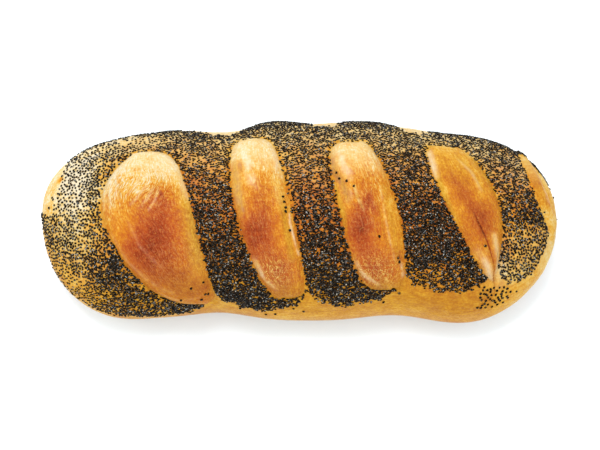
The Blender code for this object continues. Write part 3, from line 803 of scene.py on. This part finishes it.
def crust_material():
    m = Nodes("baked_crust")
    place = m.new("ShaderNodeTexCoord").outputs["Object"]
    bake = m.attr("bake").outputs["Fac"]
    pale = m.attr("pale").outputs["Fac"]
    yellow = m.attr("yellow").outputs["Fac"]
    cut = m.attr("cut").outputs["Fac"]
    under = m.attr("under").outputs["Fac"]
    flow = m.attr("flow").outputs["Vector"]

    fine = m.noise(place, 850, 3, 0.6)
    mottle = m.noise(place, 190, 4, 0.6)
    band = m.noise(place, 1.0, 3, 0.6, (160, 900, 900))
    streak = m.noise(flow, 1.0, 3, 0.6, (800, 110, 60))
    hair = m.noise(flow, 1.0, 2, 0.6, (2300, 210, 60))
    lines = m.noise(flow, 1.0, 2, 0.5, (1550, 270, 75))
    strand = m.attr("strand").outputs["Fac"]
    # thin pale lines along the strands: the crumb's own paler fibres, partly a painted highlight on them
    pale_lines_and_glints = m.math("MULTIPLY", strand, m.math("SUBTRACT", m.remap(lines, 0.53, 0.63),
                                              m.remap(lines, 0.47, 0.37, 0.0, 0.45)))
    # crinkles are thin winding lines
    wind = m.noise(flow, 1.0, 2, 0.55, (820, 430, 60))
    wind = m.math("ABSOLUTE", m.math("SUBTRACT", wind, 0.5))
    crimp = m.math("SUBTRACT", m.remap(wind, 0.012, 0.045, 0.9, 0.0), m.remap(wind, 0.07, 0.13, 0.0, 0.35))
    pale_lines_and_glints = m.math("ADD", pale_lines_and_glints, m.math("MULTIPLY", m.attr("crinkle").outputs["Fac"], crimp))

    # the crease is a thin dark line: painted shade in the fold
    aside = m.math("ADD", m.attr("aside").outputs["Fac"],
                   m.math("MULTIPLY", m.math("SUBTRACT", m.noise(place, 420, 2, 0.5), 0.5), 0.5))
    line = m.math("MULTIPLY", m.remap(m.math("ABSOLUTE", aside), 0.12, 0.56, 1.0, 0.0),
                  m.attr("fade").outputs["Fac"])

    # baking is uneven: streaked along the cuts, mottled on the skin
    a = m.math("MULTIPLY", m.math("SUBTRACT", mottle, 0.5), 0.46)
    b = m.math("MULTIPLY", m.math("SUBTRACT", fine, 0.5), 0.56)
    c = m.math("MULTIPLY", m.math("MULTIPLY", m.math("SUBTRACT", streak, 0.5), 0.30), cut)
    d = m.math("MULTIPLY", m.math("MULTIPLY", m.math("SUBTRACT", hair, 0.5), 0.42), cut)
    b = m.math("ADD", b, m.math("MULTIPLY", m.math("MULTIPLY", m.math("SUBTRACT", band, 0.5), 0.40),
                                m.math("SUBTRACT", 1.0, cut)))
    amount = m.math("ADD", m.math("ADD", bake, a), m.math("ADD", m.math("ADD", c, d), b))
    amount = m.math("SUBTRACT", amount, m.math("MULTIPLY", pale_lines_and_glints, 0.42))
    # darker along the crease: painted shade
    amount = m.math("ADD", amount, m.math("MULTIPLY", line, 0.40))
    # pale strands on the darkest crumb are orange at first, then creamy
    half = m.math("MULTIPLY", m.math("MULTIPLY", pale, m.math("SUBTRACT", 1.0, pale), clamp=True), cut)
    amount = m.math("SUBTRACT", amount, m.math("MULTIPLY", half, m.remap(bake, 0.42, 0.72, 0.0, 1.1)))
    colour = m.ramp(m.math("MULTIPLY", amount, 0.8, clamp=True), [
        (0.00, tone(254, 238, 204)),
        (0.10, tone(250, 219, 152)),
        (0.20, tone(243, 192, 92)),
        (0.31, tone(236, 160, 50)),
        (0.40, tone(222, 134, 38)),
        (0.50, tone(208, 112, 38)),
        (0.60, tone(196, 93, 42)),
        (0.70, tone(183, 78, 38)),
        (0.82, tone(164, 62, 34)),
        (1.00, tone(120, 40, 24))])
    amber = m.ramp(m.math("MULTIPLY", amount, 0.8, clamp=True), [
        (0.00, tone(253, 236, 190)),
        (0.12, tone(243, 205, 108)),
        (0.28, tone(233, 177, 58)),
        (0.40, tone(214, 153, 47)),
        (0.55, tone(193, 127, 40)),
        (0.75, tone(166, 98, 38)),
        (1.00, tone(112, 58, 24))])
    colour = m.mix(yellow, colour, amber)
    # creamy strands and pale parts, partly the crust's own paler colour and partly painted highlight and sheen;
    # small pale specks are painted glints
    thread = m.remap(m.math("ADD", m.math("MULTIPLY", streak, 0.45),
                            m.math("MULTIPLY", hair, 0.55)), 0.38, 0.62)
    cream = m.math("MULTIPLY", pale, m.remap(thread, 0.0, 1.0, 0.35, 1.0), clamp=True)
    cream = m.math("MULTIPLY", cream, m.math("SUBTRACT", 1.0, m.math("MULTIPLY", line, 0.9)))
    colour = m.mix(cream, colour, m.mix(cut, tone(222, 200, 158), tone(254, 235, 202)))
    # the pale lines lighten the colour: partly a painted highlight
    colour = m.mix(m.math("MULTIPLY", pale_lines_and_glints, 0.30, clamp=True), colour, tone(252, 222, 164))
    # tiny pale specks on the crumb: painted glints
    glint_speck = m.math("MULTIPLY", m.remap(m.noise(place, 1350, 1, 0.5), 0.60, 0.72, 0.0, 0.24), cut)
    colour = m.mix(glint_speck, colour, tone(248, 196, 100))
    colour = m.mix(under, colour, m.ramp(m.noise(place, 95, 5, 0.6), [
        (0.30, tone(132, 78, 36)), (0.52, tone(176, 116, 58)), (0.72, tone(206, 152, 92))]))
    m.link(colour, m.bsdf.inputs["Base Color"])

    rough = m.math("ADD", m.remap(fine, 0.3, 0.7, 0.26, 0.42),
                   m.math("MULTIPLY", under, 0.4))
    m.link(rough, m.bsdf.inputs["Roughness"])
    m.bsdf.inputs["Specular IOR Level"].default_value = 0.03

    height = m.math("ADD", m.math("MULTIPLY", m.noise(place, 1000, 3, 0.6), 0.6),
                    m.math("MULTIPLY", m.math("MULTIPLY", hair, 0.6), cut))
    height = m.math("ADD", height, m.math("MULTIPLY", pale_lines_and_glints, 0.55))
    height = m.math("ADD", height, m.math("MULTIPLY", m.noise(place, 400, 3, 0.5), 0.8))
    bump = m.new("ShaderNodeBump")
    bump.inputs["Strength"].default_value = 0.8
    bump.inputs["Distance"].default_value = 0.0006
    m.link(height, bump.inputs["Height"])
    m.link(bump.outputs["Normal"], m.bsdf.inputs["Normal"])
    return m.mat


def seed_material(name, dark, light, painted_glint, rough):
    """Dark netted seeds, with a painted highlight on part of each: a pale patch for the glint a seed catches."""
    m = Nodes(name)
    place = m.new("ShaderNodeTexCoord").outputs["Object"]
    colour = m.ramp(m.noise(place, 620, 2, 0.6), [(0.34, dark), (0.68, light)])
    net = m.new("ShaderNodeTexVoronoi", feature="DISTANCE_TO_EDGE")
    net.inputs["Scale"].default_value = 5200
    m.link(place, net.inputs["Vector"])
    colour = m.mix(m.remap(net.outputs["Distance"], 0.0, 0.12, 0.35, 0.0), colour, light)
    # pale patches on part of each seed: painted highlight for its glints
    glint_patch = m.remap(m.noise(place, 1250, 1, 0.5), 0.60, 0.68)
    colour = m.mix(glint_patch, colour, painted_glint)
    m.link(colour, m.bsdf.inputs["Base Color"])
    m.bsdf.inputs["Roughness"].default_value = rough
    m.bsdf.inputs["Specular IOR Level"].default_value = 0.04
    bump = m.new("ShaderNodeBump")
    bump.inputs["Strength"].default_value = 0.5
    bump.inputs["Distance"].default_value = 0.00008
    m.link(net.outputs["Distance"], bump.inputs["Height"])
    m.link(bump.outputs["Normal"], m.bsdf.inputs["Normal"])
    return m.mat


# ------------------------------------------------- where the seeds lie
SEED = 1.30 * MM            # length of a seed
PACKED = 0.575 * MM          # spacing where they lie thickest
# lower border of the seeds on the front, (mm along, degrees round); it comes up
# between the rolls, where the cuts run out
FRONT_BORDER = (
    (-131.5, 64), (-129.0, 78), (-125.5, 86), (-120, 90), (-112.5, 92), (-100, 93),
    (-88, 93), (-76, 96), (-60, 94), (-48.5, 93), (-47.0, 79), (-45.5, 68),
    (-43.0, 66), (-41.0, 77), (-34, 82), (-27, 84), (-17, 86), (-8, 80), (-3, 80),
    (0.5, 75), (3.5, 66), (6, 66), (13, 73), (20, 77), (27, 77), (34, 76), (40, 74),
    (49, 65), (51.5, 55), (53.5, 58), (60, 62), (68, 64), (77, 63), (89, 63), (92, 59),
    (94, 53), (97, 50), (99.5, 55), (101.5, 62), (106, 67), (112, 70), (117, 67),
    (121, 61), (124.5, 52), (127.3, 32), (128.2, 10), (127.4, -40), (127.8, -58), (131, -66))
# upper border at the back, where bare crust comes up between the rolls
BACK_BORDER = (
    (-131, 30), (-128, 28), (-126, 16), (-124.0, 8), (-122.4, -6), (-121.4, -30), (-119.8, -58),
    (-118.5, -84), (-100, -84), (-72, -82), (-64, -75), (-60, -69), (-51, -62),
    (-46, -58), (-42, -57), (-35, -58), (-30, -66), (-25, -80), (-18, -88), (-6, -88), (0, -82), (4, -72),
    (8, -63), (13, -60), (18, -63), (23, -75), (29, -86), (36, -90), (43, -84), (48, -67),
    (52, -60), (56, -58), (61, -60), (66, -67), (70, -88), (98, -92), (113, -88),
    (122, -86), (127, -80), (131, -70))
# seeds that fell on the opened crumb and outside the borders, (mm, deg)
STRAYS = ((-53.6, 62.4), (-58.8, 71.3), (-46.9, 69.9), (-47.7, 59.4), (-48.6, 73.4),
          (-45.6, 71.0), (-8.3, -36.4), (-7.9, 1.0), (-7.5, 4.6), (-6.9, 8.6), (-6.5, 11.6),
          (-5.0, 23.1), (18.3, -17.4), (19.9, -13.0), (23.3, -10.6), (26.3, -7.0),
          (38.8, 26.7), (48.3, 41.3), (49.0, 43.6), (90.5, 36.6), (-125.6, -9.0),
          (-124.8, -5.0), (-127.2, 10.0), (-30.0, 88.0), (-17.0, 92.0), (-12.0, 91.0),
          (2.0, 84.0), (49.5, 70.0), (42.0, 79.0))


def seed_share(x, deg, points, data):
    """How thick the seeds lie, as a share of the closest packing."""
    xm = x / MM
    wob = fractal(points, 5 * MM, 2, 31)
    rag = noise(points, 1.6 * MM, 32)
    # they stop at the cuts, with a ragged edge
    over = (data["index"] == 4) & (deg < -69 + 3 * rag)
    out = np.where((data["inside"] > 0.5) & ~over, -data["lips"], data["lips"]) / MM
    edge = np.where(over, 1.0, step(-0.15, 0.60, out + 0.50 * wob + 1.15 * rag))
    # borders at the front and at the back
    front = np.interp(xm, *np.array(FRONT_BORDER).T)
    edge = edge * step(1.5, -1.5, deg - front - 1.8 * wob - 2.6 * rag)
    back = -np.interp(xm, *np.array(BACK_BORDER).T)
    soft = 1.5 + 6.0 * step(-112, -122, xm) + 3.0 * step(-66, -80, deg)
    edge = edge * step(1.0, -1.0, (-deg - back - 2.4 * wob - 2.6 * rag) / soft)
    # thickest low on the front, looser over the crown and at the back
    share = np.interp(deg, [-95, -75, -62, -45, -25, -5, 15, 35, 55, 95],
                      [0.13, 0.19, 0.285, 0.335, 0.39, 0.53, 0.75, 0.88, 0.88, 0.83])
    share = share + 0.17 * spot(x, deg, (62, 4), (15, 26)) + 0.12 * spot(x, deg, (107, -8), (9, 16)) - 0.07 * spot(x, deg, (50, -48), (10, 12)) \
        + 0.04 * spot(x, deg, (96, -38), (10, 12)) - 0.07 * spot(x, deg, (5, 24), (9, 20)) \
        - 0.09 * spot(x, deg, (3, -13), (9, 12)) - 0.05 * spot(x, deg, (-40, -4), (9, 14)) \
        - 0.06 * spot(x, deg, (-43, -30), (9, 12)) - 0.37 * spot(x, deg, (65, 55), (11, 7))
    # the left end is thinly strewn, more so to the back
    thin = np.interp(deg, [-80, -50, -35, 0, 28, 45, 58, 75, 92],
                     [0.12, 0.16, 0.165, 0.165, 0.188, 0.208, 0.25, 0.285, 0.285])
    left = step(-86.0, -100.0, xm) * step(62, 44, deg) + step(-86, -114, xm) * step(44, 62, deg)
    left = np.maximum(left, step(-66.0, -84.0, xm) * step(-30, -44, deg))
    share = share + np.clip(left, 0, 1) * (thin - share)
    share = share + 0.11 * spot(x, deg, (-101.5, -4), (4.0, 28)) + 0.09 * spot(x, deg, (-88, -46), (9, 9))
    share = share * (1 - 0.54 * step(50, 84, deg) * step(-50, -72, xm))
    share = share * (1 - 0.70 * step(-119, -129, xm) * step(38, 14, deg)) * step(128.6, 126.8, xm)
    # and so is the low part of the right end
    right = step(97.0, 105.0, xm) * step(-4.0, 24.0, deg)
    share = share * (1 - 0.28 * step(12, 2, front - deg) * step(56, 64, deg))
    share = share + right * (np.interp(deg, [0, 35, 55, 75], [0.42, 0.235, 0.265, 0.245]) - share)
    # beyond the last cut only a thin line of them is left at the back
    tau = (deg + 84.0) / 144.0
    past = x - cut_line(CUTS[4], np.clip(tau, 0.0, 1.0))[1]
    share = share * (1 - step(-0.5 * MM, 0.5 * MM, past) * step(-74, -68, deg) * step(60, 50, deg))
    share = share * (1 - 0.38 * step(-50, -76, xm) * step(-36, -54, deg))
    share = share + 0.24 * step(100, 108, xm) * step(-66, -72, deg) * step(-84, -75, deg)
    share = share * (1 + 0.18 * noise(points, 5.0 * MM, 33))
    return np.clip(share, 0.0, 1.0) * edge


def scatter(points, normals, quads, data):
    """Places seeds on the crust so that none lie closer than the spacing there."""
    tri = np.concatenate([quads[:, [0, 1, 2]], quads[:, [0, 2, 3]]])
    deg = np.degrees(data["theta"])
    keep = (np.abs(deg[tri]) < 112).all(1)
    tri = tri[keep]
    a, b, c = (points[tri[:, k]] for k in range(3))
    area = np.linalg.norm(np.cross(b - a, c - a), axis=1) / 2
    count = 480000
    pick = rng.choice(len(tri), count, p=area / area.sum())
    r1, r2 = rng.random(count), rng.random(count)
    s = np.sqrt(r1)
    w = np.stack([1 - s, s * (1 - r2), s * r2], -1)
    t = tri[pick]

    def blend(v):
        if v.ndim == 1:
            return (v[t] * w).sum(1)
        return (v[t] * w[..., None]).sum(1)

    p, n = blend(points), blend(normals)
    n /= np.linalg.norm(n, axis=1, keepdims=True)
    local = {k: blend(data[k]) for k in ("x", "theta", "lips")}
    # which side of the lip, from the nearest corner
    near = t[np.arange(count), w.argmax(1)]
    local["inside"], local["index"] = data["inside"][near], data["index"][near]
    share = seed_share(local["x"], np.degrees(local["theta"]), p, local)
    alive = share > 0.01
    p, n, share = p[alive], n[alive], share[alive]
    power = np.interp(share, [0.25, 0.40, 0.60, 0.90], [0.50, 0.41, 0.28, 0.22])
    # at the ends they lie evenly apart
    xa, da = local["x"][alive] / MM, np.degrees(local["theta"][alive])
    even = np.maximum(step(96, 104, xa) * step(-4, 20, da), step(-92, -102, xa) * step(76, 58, da))
    power = power + even * (0.5 - power)
    gap = PACKED * np.clip(share, 0.17 - 0.05 * even, 1.0) ** -power * rng.uniform(0.88, 1.12, len(p))
    # seeds line up a little along the loaf where they lie thick
    streaky = np.clip(1.0 - even - step(-78, -94, local["x"][alive] / MM) * step(70, 45, np.degrees(
        local["theta"][alive])), 0, 1)
    wx, wy = (1.0 + 0.32 * streaky) ** 2, (1.0 - 0.14 * streaky) ** 2
    cell = 1.80 * MM
    key = np.floor(p / cell).astype(np.int64) + 500
    key = (key[:, 0] * 1000 + key[:, 1]) * 1000 + key[:, 2]
    around = [(i * 1000 + j) * 1000 + k for i in (-1, 0, 1) for j in (-1, 0, 1)
              for k in (-1, 0, 1)]
    grid = {}
    chosen = []
    for i, (k0, (px, py, pz), g, u, v) in enumerate(zip(
            key.tolist(), p.tolist(), (gap ** 2).tolist(), wx.tolist(), wy.tolist())):
        for o in around:
            box = grid.get(k0 + o)
            if box and any(u * (e[0] - px) ** 2 + v * ((e[1] - py) ** 2 + (e[2] - pz) ** 2) < g
                           for e in box):
                break
        else:
            grid.setdefault(k0, []).append((px, py, pz))
            chosen.append(i)
    chosen = np.array(chosen)
    # thin parts lose some of them, in small clumps
    chance = (share * (gap / PACKED) ** 2)[chosen]
    clump = 0.9 * noise(p[chosen], np.array([2.5, 0.9, 0.9]) * MM, 34) \
        + 0.5 * noise(p[chosen], np.array([5.0, 2.2, 2.2]) * MM, 35)
    kept = rng.random(len(chosen)) < chance + np.minimum(chance, 1.15 - chance) * clump
    chosen = chosen[kept]
    p1, n1 = p[chosen], n[chosen]
    lift1 = rng.uniform(0.10, 0.24 + 0.22 * step(0.5, 1.0, share[chosen])) * MM
    # a second layer here and there where they lie thickest
    rest = np.ones(len(p), bool)
    rest[chosen] = False
    more = np.nonzero(rest & (rng.random(len(p)) < 0.006 * step(0.6, 1.0, share)))[0]
    p2, n2 = p[more], n[more]
    lift2 = rng.uniform(0.50, 0.72, len(p2)) * MM
    # strays, found on the mesh by their place
    vx, vt = data["x"][:-2] / MM, deg[:-2]
    drawn = np.concatenate([rng.normal((92.5, 71.5), (2.8, 3.6), (60, 2)),
                            rng.normal((100.5, 74.5), (3.3, 4.6), (110, 2))])
    drawn = drawn[(drawn[:, 1] > 63) & (drawn[:, 1] < 90)]
    spilt = []
    for spot_at in drawn[rng.permutation(len(drawn))]:
        if all(np.hypot(spot_at[0] - q[0], (spot_at[1] - q[1]) * 0.87) > 1.5 for q in spilt):
            spilt.append(spot_at)
    spilt = np.array(spilt[:46])
    at = [int(np.argmin((vx - sx) ** 2 + ((vt - st) * 0.87) ** 2))
          for sx, st in np.concatenate([STRAYS, spilt])]
    p3, n3 = points[at], normals[at]
    lift3 = np.full(len(p3), 0.2 * MM)
    P = np.concatenate([p1, p2, p3])
    N = np.concatenate([n1, n2, n3])
    L = np.concatenate([lift1, lift2, lift3])
    tilt = np.concatenate([np.full(len(p1), 0.28), np.full(len(p2), 0.6),
                           np.full(len(p3), 0.2)])
    print("seeds", len(p1), len(p2), len(p3))
    slim = np.clip(np.concatenate([streaky[chosen], np.ones(len(p2)), np.zeros(len(p3))]), 0, 1)
    return P, N, L, tilt, slim


def seed_template():
    """One poppy seed, 1 long: a small bent bean, thicker at one end."""
    sides, rings = 5, (0.26, 0.52, 0.78)
    verts = [(-0.5, 0.0, 0.0)]
    for r in rings:
        x = -0.5 * math.cos(math.pi * r)
        w = 0.5 * math.sin(math.pi * r)
        fat = 1.0 + 0.22 * x
        for k in range(sides):
            a = 2 * math.pi * (k + 0.5 * (rings.index(r) % 2)) / sides
            y = w * 0.68 * fat * math.cos(a)
            z = w * 0.62 * fat * math.sin(a)
            verts.append((x, y + 0.30 * x * x - 0.03, z))
    verts.append((0.5, 0.30 * 0.25 - 0.03, 0.0))
    verts[0] = (-0.5, 0.30 * 0.25 - 0.03, 0.0)
    faces = []
    for k in range(sides):
        faces.append((0, 1 + (k + 1) % sides, 1 + k))
    for r in range(len(rings) - 1):
        a, b = 1 + r * sides, 1 + (r + 1) * sides
        for k in range(sides):
            q = (k + 1) % sides
            faces.append((a + k, a + q, b + k))
            faces.append((a + q, b + q, b + k))
    last = len(verts) - 1
    a = 1 + (len(rings) - 1) * sides
    for k in range(sides):
        faces.append((a + k, a + (k + 1) % sides, last))
    return np.array(verts), np.array(faces)


def seed_piece(name, P, N, L, tilt, slim, material):
    """All seeds of one kind as one mesh."""
    n = len(P)
    ref = np.where(np.abs(N[:, :1]) < 0.8, [[1.0, 0, 0]], [[0, 1.0, 0]])
    t = np.cross(N, ref)
    t /= np.linalg.norm(t, axis=1, keepdims=True)
    b = np.cross(N, t)
    # most lie with their length near the length of the loaf
    yaw = rng.normal(0.12, 1.0, n) * (0.85 - 0.50 * slim) + np.pi * rng.integers(0, 2, n)
    flat_x = np.array([[1.0, 0, 0]]) - N * N[:, :1]
    flat_x = np.where(np.linalg.norm(flat_x, axis=1, keepdims=True) > 0.2, flat_x, t)
    flat_x /= np.linalg.norm(flat_x, axis=1, keepdims=True)
    flat_y = np.cross(N, flat_x)
    ex = np.cos(yaw)[:, None] * flat_x + np.sin(yaw)[:, None] * flat_y
    lean = rng.normal(0, 1, (n, 2)) * tilt[:, None]
    up = N + lean[:, :1] * t + lean[:, 1:] * b
    up /= np.linalg.norm(up, axis=1, keepdims=True)
    ex -= (ex * up).sum(1, keepdims=True) * up
    ex /= np.linalg.norm(ex, axis=1, keepdims=True)
    ey = np.cross(up, ex)
    size = SEED * np.clip(rng.normal(1.0, 0.08, n), 0.80, 1.20) * (1.09 - 0.09 * slim) * np.where(tilt < 0.25, 1.12, 1.0)
    verts, faces = seed_template()
    wide = rng.uniform(0.92, 1.10, n) * (1.30 - 0.30 * slim)
    local = verts[None] * size[:, None, None]
    local[..., 1] *= wide[:, None]
    centre = P + N * L[:, None]
    world = (centre[:, None] + local[..., :1] * ex[:, None]
             + local[..., 1:2] * ey[:, None] + local[..., 2:] * up[:, None])
    m = len(verts)
    all_faces = (faces[None] + (np.arange(n) * m)[:, None, None]).reshape(-1, 3)
    mesh = bpy.data.meshes.new(name)
    mesh.vertices.add(n * m)
    mesh.vertices.foreach_set("co", world.astype(np.float32).ravel())
    mesh.loops.add(len(all_faces) * 3)
    mesh.loops.foreach_set("vertex_index", all_faces.astype(np.int32).ravel())
    mesh.polygons.add(len(all_faces))
    mesh.polygons.foreach_set("loop_start", np.arange(0, len(all_faces) * 3, 3, dtype=np.int32))
    mesh.update(calc_edges=True)
    mesh.validate()
    mesh.shade_smooth()
    mesh.materials.append(material)
    obj = bpy.data.objects.new(name, mesh)
    bpy.context.scene.collection.objects.link(obj)
    return obj


# ------------------------------------------------- build the loaf
crust, pts, quads, data = make_crust()
mesh = crust.data
bake, pale, yellow, strand, crinkle = bake_fields(pts, data)
put(mesh, "bake", bake)
put(mesh, "pale", pale)
put(mesh, "yellow", yellow)
put(mesh, "strand", strand)
put(mesh, "crinkle", crinkle)
aside, fade = crease_fields(data["x"], np.degrees(data["theta"]))
put(mesh, "aside", aside)
put(mesh, "fade", fade)
put(mesh, "cut", step(0.0, 0.8 * MM, np.where(data["inside"] > 0.5, data["lips"], 0.0)))
put(mesh, "under", step(0.0026, 0.0002, pts[:, 2]))
sway = 0.55 * MM * noise(pts, 3.4 * MM, 61) + 0.30 * MM * noise(pts, 1.8 * MM, 62)
flow = np.stack([data["flow_across"] * 0.030 + sway, data["flow_along"] * 0.095,
                 data["index"] * 0.05], -1)
put(mesh, "flow", flow, "FLOAT_VECTOR")
mesh.materials.append(crust_material())

normals = np.zeros(len(mesh.vertices) * 3, np.float32)
mesh.vertex_normals.foreach_get("vector", normals)
normals = normals.reshape(-1, 3).astype(float)

P, N, L, tilt, slim = scatter(pts, normals, quads, data)
kind = rng.random(len(P))
kind[tilt < 0.25] = np.where(kind[tilt < 0.25] < 0.6, 0.1, 0.7)
# the last colour of each kind is the painted highlight of its glints
seed_kinds = (
    ("seeds_black", kind < 0.29,
     seed_material("seed_black", srgb(7, 5, 3), srgb(20, 15, 10), srgb(68, 60, 48), 0.30)),
    ("seeds_slate", (kind >= 0.29) & (kind < 0.56),
     seed_material("seed_slate", srgb(10, 9, 7), srgb(30, 28, 26), srgb(152, 153, 150), 0.30)),
    ("seeds_brown", (kind >= 0.56) & (kind < 0.82),
     seed_material("seed_brown", srgb(16, 10, 5), srgb(47, 31, 17), srgb(132, 108, 74), 0.34)),
    ("seeds_grey", kind >= 0.82,
     seed_material("seed_grey", srgb(22, 20, 18), srgb(62, 58, 52), srgb(186, 180, 164), 0.32)),
)
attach(crust, "root")
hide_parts("loaf")
for name, chosen, material in seed_kinds:
    piece = seed_piece(name, P[chosen], N[chosen], L[chosen], tilt[chosen], slim[chosen], material)
    print(name, int(chosen.sum()), "seeds", len(piece.data.polygons), "faces")
    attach(piece, "root")
print("seeds", len(P), "crust faces", len(mesh.polygons))

# ------------------------------------------------- floor, lights, camera
floor_mesh = bpy.data.meshes.new("floor")
floor_mesh.from_pydata([(-3, -3, 0), (3, -3, 0), (3, 3, 0), (-3, 3, 0)], [], [(0, 1, 2, 3)])
floor = bpy.data.objects.new("floor", floor_mesh)
floor.location = (0, 0, -0.0002)
bpy.context.scene.collection.objects.link(floor)
paper = Nodes("pale_floor")
paper.bsdf.inputs["Base Color"].default_value = (0.84, 0.93, 0.99, 1)
paper.bsdf.inputs["Roughness"].default_value = 0.9
paper.bsdf.inputs["Specular IOR Level"].default_value = 0.1
floor_mesh.materials.append(paper.mat)


def softbox(name, at, to, power, width, height):
    light = bpy.data.lights.new(name, "AREA")
    light.shape = "RECTANGLE"
    light.size = width
    light.size_y = height
    light.energy = power
    obj = bpy.data.objects.new(name, light)
    obj.location = at
    way = Vector(to) - Vector(at)
    obj.rotation_euler = way.to_track_quat("-Z", "Y").to_euler()
    bpy.context.scene.collection.objects.link(obj)
    return obj


softbox("key", (-0.16, 0.22, 1.22), (0, 0, 0.03), 7.6, 0.45, 0.45)
softbox("fill", (0.25, -1.15, 0.95), (0, 0, 0.02), 9.2, 1.4, 0.8)
softbox("back", (0.0, 1.35, 0.42), (0, 0, 0.04), 5.8, 1.6, 0.35)
softbox("side", (-1.35, 0.35, 0.50), (-0.05, 0, 0.04), 3.6, 0.6, 0.45)

world = bpy.data.worlds.new("studio")
bpy.context.scene.world = world
world.use_nodes = True
world.node_tree.nodes["Background"].inputs["Color"].default_value = (1, 1, 1, 1)
world.node_tree.nodes["Background"].inputs["Strength"].default_value = 1.04

ELEVATION = math.radians(70.0)
DISTANCE = 0.85
camera_data = bpy.data.cameras.new("camera")
camera_data.lens = 99.73
camera_data.sensor_width = 36
camera_data.shift_x = 0.52 / 600
camera_data.shift_y = -2.37 / 600
camera_data.clip_start = 0.01
camera = bpy.data.objects.new("camera", camera_data)
forward = Vector((0, math.cos(ELEVATION), -math.sin(ELEVATION)))
camera.location = Vector((0, Y_SHIFT, 0.030)) - forward * DISTANCE
camera.rotation_euler = forward.to_track_quat("-Z", "Y").to_euler()
bpy.context.scene.collection.objects.link(camera)
bpy.context.scene.camera = camera
bpy.context.scene.view_settings.view_transform = "Standard"

bpy.context.view_layer.update()
